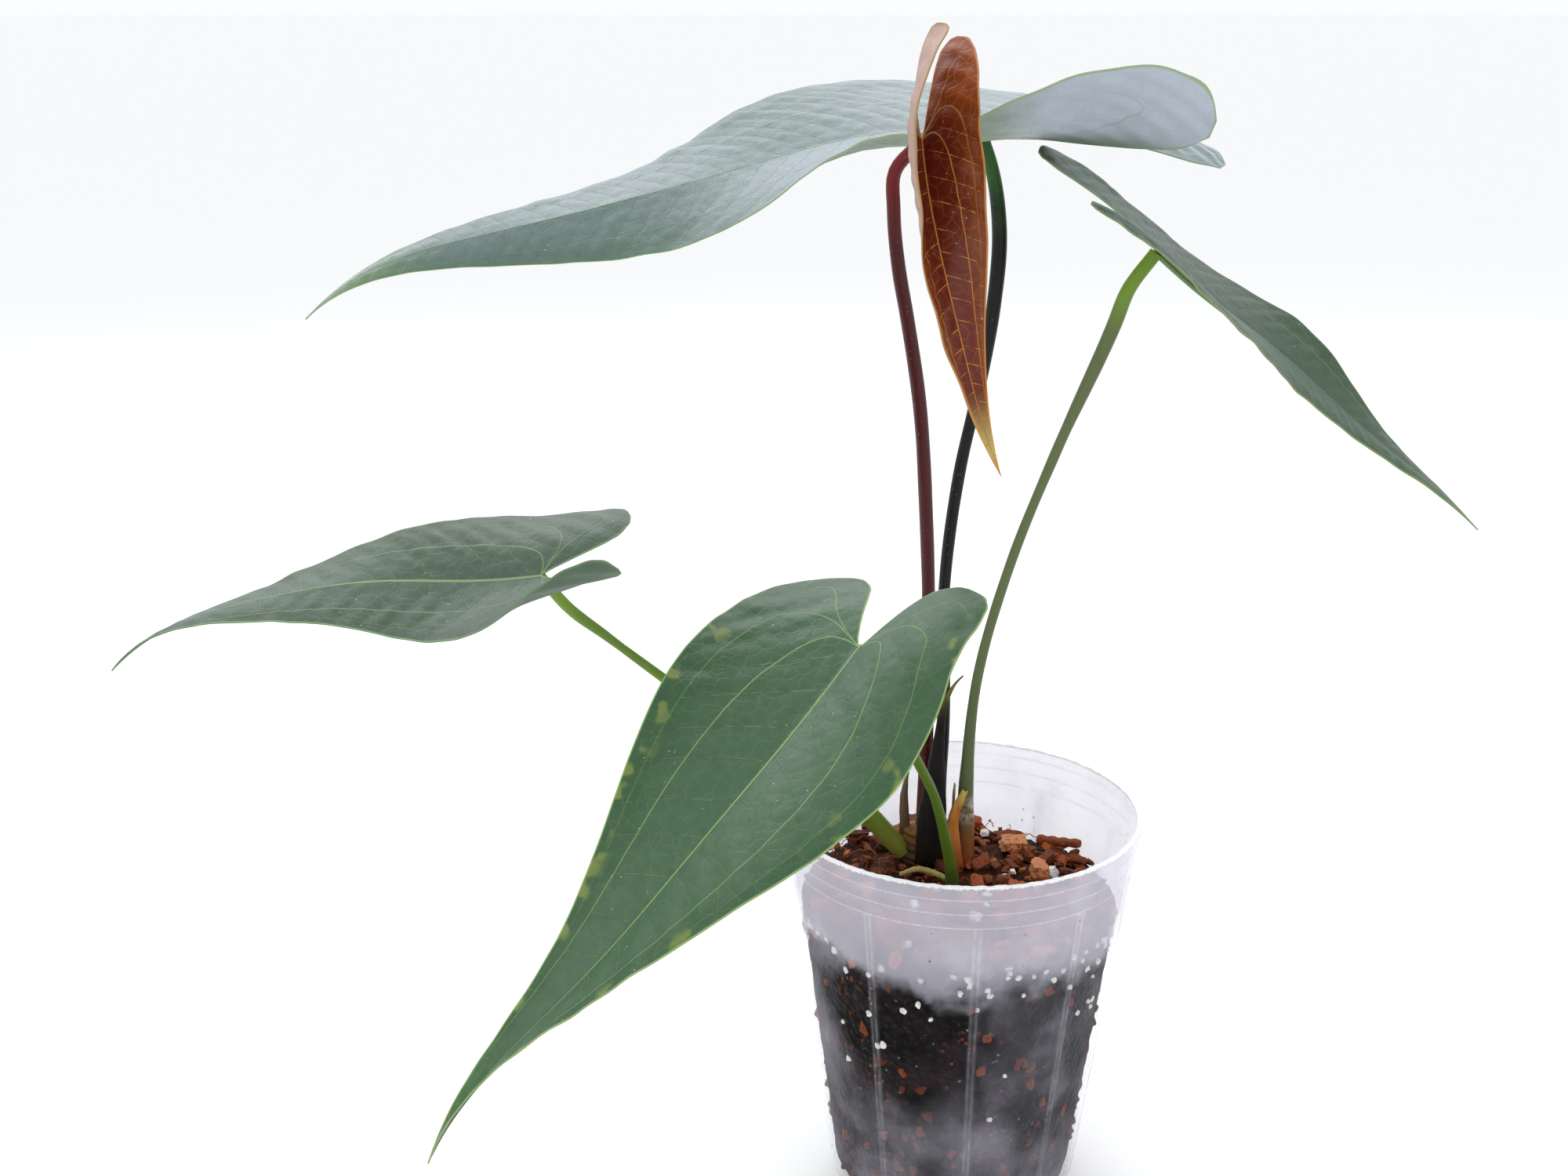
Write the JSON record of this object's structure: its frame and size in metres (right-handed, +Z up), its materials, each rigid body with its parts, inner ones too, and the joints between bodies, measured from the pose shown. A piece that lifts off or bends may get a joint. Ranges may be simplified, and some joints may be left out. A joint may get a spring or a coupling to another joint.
{
  "type": "potted anthurium plant",
  "caption": "Young foliage plant with long heart-shaped leaves on slender stalks, potted in bark mix in a thin tapered see-through nursery pot.",
  "frame": {"origin": "middle of the pot's underside, on the surface it stands on", "axes": "+Z up, -Y towards the front of the plant, +X to its right, along the longest spread of the leaves"},
  "size_m": [0.4155, 0.2129, 0.395],
  "materials": {
    "pot": "thin milky see-through plastic",
    "potting_mix": "moist dark bark and coir",
    "bark": "rough orange-brown bark",
    "perlite": "matt white grains",
    "crown": "dark woody stem",
    "leaf_front": "satin leaf green with pale veins",
    "leaf_side": "satin grey-green with pale veins",
    "leaf_top": "satin dark green with a cool sheen",
    "leaf_new": "glossy bronze red with orange veins",
    "leaf_right": "satin dark green",
    "stalk_front": "satin green",
    "stalk_side": "satin yellow-green",
    "stalk_top": "satin blackish green",
    "stalk_new": "satin deep red",
    "stalk_right": "satin olive",
    "sheath_dark": "papery dark brown",
    "sheath_olive": "papery olive brown",
    "sheath_amber": "waxy amber",
    "sheath_bud": "papery olive",
    "root": "matt pale root with a green tip",
    "twig": "rough brown wood"
  },
  "bodies": {
    "root": {"pot": "pot", "potting_mix": "potting_mix", "crown": "crown", "leaf_front": "leaf_front", "stalk_front": "stalk_front", "leaf_side": "leaf_side", "stalk_side": "stalk_side", "leaf_top": "leaf_top", "stalk_top": "stalk_top", "leaf_new": "leaf_new", "stalk_new": "stalk_new", "leaf_right": "leaf_right", "stalk_right": "stalk_right", "sheath_dark": "sheath_dark", "sheath_olive": "sheath_olive", "sheath_amber": "sheath_amber", "sheath_bud": "sheath_bud", "aerial_root": "root", "twig": "twig", "bark_chip_01": "bark", "bark_chip_02": "bark", "bark_chip_03": "bark", "bark_chip_04": "bark", "bark_chip_05": "bark", "bark_chip_06": "bark", "bark_chip_07": "bark", "bark_chip_08": "bark", "bark_chip_09": "bark", "bark_chip_10": "bark", "bark_chip_11": "bark", "bark_chip_12": "bark", "bark_chip_13": "bark", "bark_chip_14": "bark", "bark_chip_15": "bark", "bark_chip_16": "bark", "perlite_01": "perlite", "perlite_02": "perlite", "perlite_03": "perlite", "perlite_04": "perlite", "perlite_05": "perlite", "perlite_06": "perlite"}
  },
  "joints": []
}
